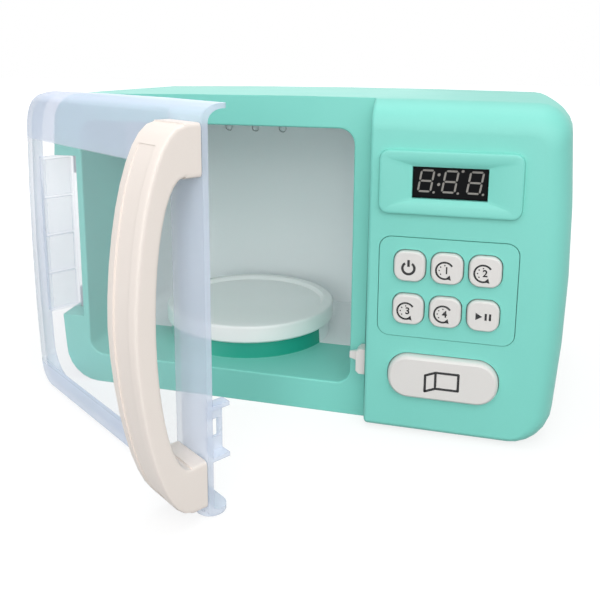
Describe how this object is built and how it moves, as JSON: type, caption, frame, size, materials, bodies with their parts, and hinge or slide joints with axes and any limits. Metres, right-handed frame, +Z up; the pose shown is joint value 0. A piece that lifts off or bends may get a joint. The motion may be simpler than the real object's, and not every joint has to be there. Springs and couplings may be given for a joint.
{
  "type": "toy microwave oven",
  "caption": "Pretend-play microwave oven with a hinged clear door, arched handle, spring-latched opening button, press keys and a geared turntable.",
  "frame": {"origin": "middle of the flat underside of the case", "axes": "+X to the right seen from the front, +Y to the back, +Z up"},
  "size_m": [0.2972, 0.277, 0.1715],
  "materials": {
    "mint_plastic": "smooth moulded, satin",
    "liner_plastic": "smooth moulded, satin",
    "white_plastic": "smooth moulded, slight gloss",
    "cream_plastic": "smooth moulded, satin",
    "clear_plastic": "clear moulded, glossy",
    "black_plastic": "dark, slight gloss",
    "board": "printed circuit laminate",
    "steel": "plain bright steel",
    "gear_plastic": "natural acetal",
    "cell_sleeve": "printed sleeve, plain"
  },
  "bodies": {
    "case": {"front_shell": "mint_plastic", "rear_shell": "mint_plastic", "cavity_liner": "liner_plastic", "keypad_plate": "mint_plastic", "display_module": "black_plastic", "control_board": "board", "key_switch_1": "black_plastic", "key_switch_2": "black_plastic", "key_switch_3": "black_plastic", "key_switch_4": "black_plastic", "key_switch_5": "black_plastic", "key_switch_6": "black_plastic", "open_button_spring": "steel", "latch_spring": "steel", "cavity_led_1": "clear_plastic", "cavity_led_2": "clear_plastic", "cavity_led_3": "clear_plastic", "lamp_board": "board", "turntable_motor": "steel", "motor_mount": "gear_plastic", "battery_cell_1": "cell_sleeve", "battery_cell_2": "cell_sleeve", "battery_cell_3": "cell_sleeve", "battery_door": "mint_plastic", "battery_door_screw": "steel", "contact_plate_1": "steel", "contact_plate_2": "steel", "speaker": "black_plastic", "case_screw_1": "steel", "case_screw_2": "steel", "case_screw_3": "steel", "case_screw_4": "steel", "hinge_pin_1": "steel", "hinge_pin_2": "steel"},
    "door": {"door_shell": "clear_plastic", "door_handle": "cream_plastic", "handle_screw_1": "steel", "handle_screw_2": "steel"},
    "turntable": {"turntable_plate": "white_plastic", "turntable_shaft": "gear_plastic", "drive_gear": "gear_plastic"},
    "pinion": {"motor_pinion": "gear_plastic"},
    "big_button": {"open_button": "white_plastic"},
    "latch": {"latch_slider": "white_plastic"},
    "power_button_key": {"power_button": "white_plastic"},
    "time_button_1_key": {"time_button_1": "white_plastic"},
    "time_button_2_key": {"time_button_2": "white_plastic"},
    "time_button_3_key": {"time_button_3": "white_plastic"},
    "time_button_4_key": {"time_button_4": "white_plastic"},
    "start_button_key": {"start_button": "white_plastic"}
  },
  "joints": [
    {"name": "door_hinge", "type": "hinge", "parent": "case", "child": "door", "pos_m": [-0.135, -0.049, 0.08675], "axis": [0, 0, -1], "range_deg": [-33.5, 66.5]},
    {"name": "turntable_spin", "type": "hinge", "parent": "case", "child": "turntable", "pos_m": [-0.0435, -0.001, 0.03], "axis": [0, 0, 1], "continuous": true},
    {"name": "pinion_spin", "type": "hinge", "parent": "case", "child": "pinion", "pos_m": [-0.0675, -0.001, 0.018], "axis": [0, 0, 1], "continuous": true},
    {"name": "open_button_press", "type": "slide", "parent": "case", "child": "big_button", "axis": [0, 1, 0], "range_m": [0, 0.003], "stiffness_N_per_m": 300},
    {"name": "latch_retract", "type": "slide", "parent": "case", "child": "latch", "axis": [1, 0, 0], "range_m": [0, 0.004], "stiffness_N_per_m": 150},
    {"name": "power_button_press", "type": "slide", "parent": "case", "child": "power_button_key", "axis": [0, 1, 0], "range_m": [0, 0.0012], "stiffness_N_per_m": 500},
    {"name": "time_button_1_press", "type": "slide", "parent": "case", "child": "time_button_1_key", "axis": [0, 1, 0], "range_m": [0, 0.0012], "stiffness_N_per_m": 500},
    {"name": "time_button_2_press", "type": "slide", "parent": "case", "child": "time_button_2_key", "axis": [0, 1, 0], "range_m": [0, 0.0012], "stiffness_N_per_m": 500},
    {"name": "time_button_3_press", "type": "slide", "parent": "case", "child": "time_button_3_key", "axis": [0, 1, 0], "range_m": [0, 0.0012], "stiffness_N_per_m": 500},
    {"name": "time_button_4_press", "type": "slide", "parent": "case", "child": "time_button_4_key", "axis": [0, 1, 0], "range_m": [0, 0.0012], "stiffness_N_per_m": 500},
    {"name": "start_button_press", "type": "slide", "parent": "case", "child": "start_button_key", "axis": [0, 1, 0], "range_m": [0, 0.0012], "stiffness_N_per_m": 500}
  ],
  "couplings": [
    {"joint": "pinion_spin", "follows": "turntable_spin", "ratio": -3},
    {"joint": "latch_retract", "follows": "open_button_press", "ratio": 1.3333}
  ]
}
